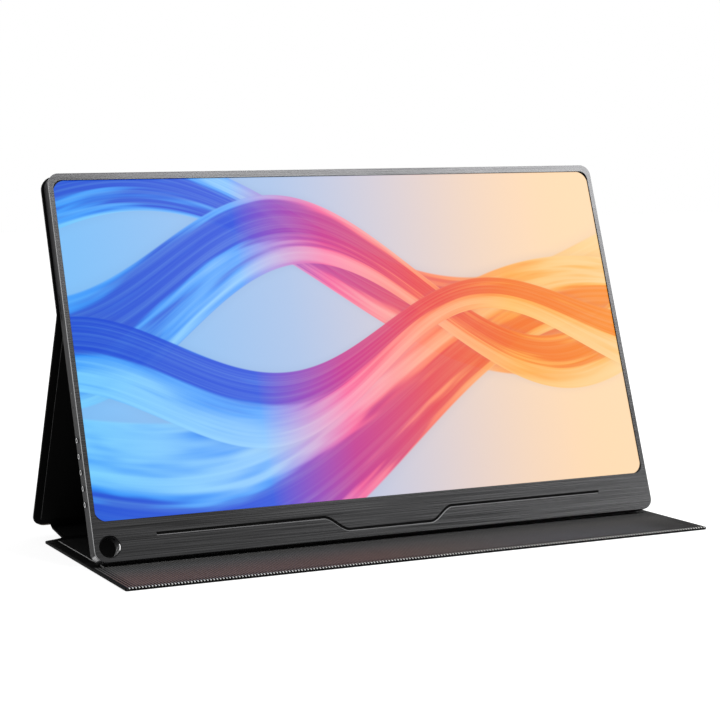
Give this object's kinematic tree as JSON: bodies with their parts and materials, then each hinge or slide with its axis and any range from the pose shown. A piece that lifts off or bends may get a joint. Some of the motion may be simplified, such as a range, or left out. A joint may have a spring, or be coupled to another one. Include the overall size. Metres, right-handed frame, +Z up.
{
  "type": "portable monitor with cover",
  "caption": "Thin portable monitor with a chin and corner pen hole, standing in a folding cover: flat front flap, spine strip, splayed prop panel and back panel.",
  "frame": {"origin": "on the table, under the middle of the whole object", "axes": "+X along the width of the screen, towards the port side; +Y from the screen towards the back; +Z up"},
  "size_m": [0.3526, 0.1806, 0.2125],
  "materials": {
    "brushed_frame": "horizontally brushed, dark grey anodised",
    "housing_metal": "fine blasted, dark grey anodised",
    "screen": "lit picture behind a satin front film",
    "black_tape": "thin black foam tape",
    "film": "milky diffuser film",
    "guide": "clear acrylic",
    "reflector": "white",
    "led": "phosphor yellow on white tape",
    "tray_metal": "bare stamped sheet",
    "circuit_board": "green solder mask",
    "chip": "black moulded epoxy",
    "flex": "amber polyimide",
    "cable": "black taped ribbon",
    "connector_shell": "drawn steel shells",
    "jack_plastic": "black moulded",
    "lens": "clear light pipe",
    "key_metal": "dark grey anodised, bright turned rim",
    "speaker_plastic": "black moulded box",
    "liner_plastic": "dark grey moulded",
    "screw_steel": "black oxide",
    "skin_cloth": "black coated cloth with a fine rib",
    "board_fibre": "pressed fibre board",
    "lining_cloth": "dark grey microfibre with fine ribs",
    "magnet": "nickel plated magnets"
  },
  "bodies": {
    "flap": {"flap_skin": "skin_cloth", "flap_board": "board_fibre", "flap_lining": "lining_cloth", "flap_magnets": "magnet"},
    "spine": {"spine_skin": "skin_cloth", "spine_board": "board_fibre", "spine_lining": "lining_cloth", "lower_fold": "skin_cloth", "flap_fold": "skin_cloth"},
    "strut": {"strut_skin": "skin_cloth", "strut_board": "board_fibre", "strut_lining": "lining_cloth", "upper_fold": "skin_cloth"},
    "upper": {"upper_skin": "skin_cloth", "upper_board": "board_fibre", "upper_lining": "lining_cloth", "upper_magnets": "magnet"},
    "monitor": {"front_frame": "brushed_frame", "rear_housing": "housing_metal", "bonding_tape": "black_tape", "lcd_glass": "screen", "panel_flex": "flex", "diffuser_films": "film", "light_guide": "guide", "reflector_sheet": "reflector", "led_strip": "led", "backlight_tray": "tray_metal", "driver_board": "circuit_board", "display_cable": "cable", "main_board": "circuit_board", "board_shield": "tray_metal", "board_chips": "chip", "usb_c_ports": "connector_shell", "mini_video_port": "connector_shell", "headphone_jack": "jack_plastic", "key_board": "circuit_board", "key_switches": "chip", "key_ribbon": "flex", "status_lens": "lens", "speaker_left": "speaker_plastic", "speaker_right": "speaker_plastic", "pen_hole_liner": "liner_plastic", "steel_plate": "tray_metal", "housing_screws": "screw_steel", "board_screws": "screw_steel"},
    "key_1": {"key_1": "key_metal"},
    "key_2": {"key_2": "key_metal"},
    "key_3": {"key_3": "key_metal"},
    "key_4": {"key_4": "key_metal"},
    "key_5": {"key_5": "key_metal"}
  },
  "joints": [
    {"name": "flap_hinge", "type": "hinge", "parent": "flap", "child": "spine", "pos_m": [0, 0.06299, 0.0009], "axis": [-1, 0, 0], "range_deg": [0, 6.65]},
    {"name": "stand_fold", "type": "hinge", "parent": "spine", "child": "strut", "pos_m": [0, 0.08941, 0.004], "axis": [-1, 0, 0], "range_deg": [0, 110]},
    {"name": "upper_hinge", "type": "hinge", "parent": "strut", "child": "upper", "pos_m": [0, 0.02094, 0.13442], "axis": [1, 0, 0], "range_deg": [0, 46.62]},
    {"name": "monitor_release", "type": "slide", "parent": "upper", "child": "monitor", "axis": [0, -0.9438, 0.3305], "range_m": [0, 0.03]},
    {"name": "key_1_press", "type": "slide", "parent": "monitor", "child": "key_1", "axis": [1, 0, 0], "range_m": [0, 0.0003], "stiffness_N_per_m": 800, "springref_m": -0.0004},
    {"name": "key_2_press", "type": "slide", "parent": "monitor", "child": "key_2", "axis": [1, 0, 0], "range_m": [0, 0.0003], "stiffness_N_per_m": 800, "springref_m": -0.0004},
    {"name": "key_3_press", "type": "slide", "parent": "monitor", "child": "key_3", "axis": [1, 0, 0], "range_m": [0, 0.0003], "stiffness_N_per_m": 800, "springref_m": -0.0004},
    {"name": "key_4_press", "type": "slide", "parent": "monitor", "child": "key_4", "axis": [1, 0, 0], "range_m": [0, 0.0003], "stiffness_N_per_m": 800, "springref_m": -0.0004},
    {"name": "key_5_press", "type": "slide", "parent": "monitor", "child": "key_5", "axis": [1, 0, 0], "range_m": [0, 0.0003], "stiffness_N_per_m": 800, "springref_m": -0.0004}
  ],
  "couplings": [
    {"joint": "flap_hinge", "follows": "stand_fold", "ratio": 0.060289},
    {"joint": "upper_hinge", "follows": "stand_fold", "ratio": 0.4234}
  ]
}
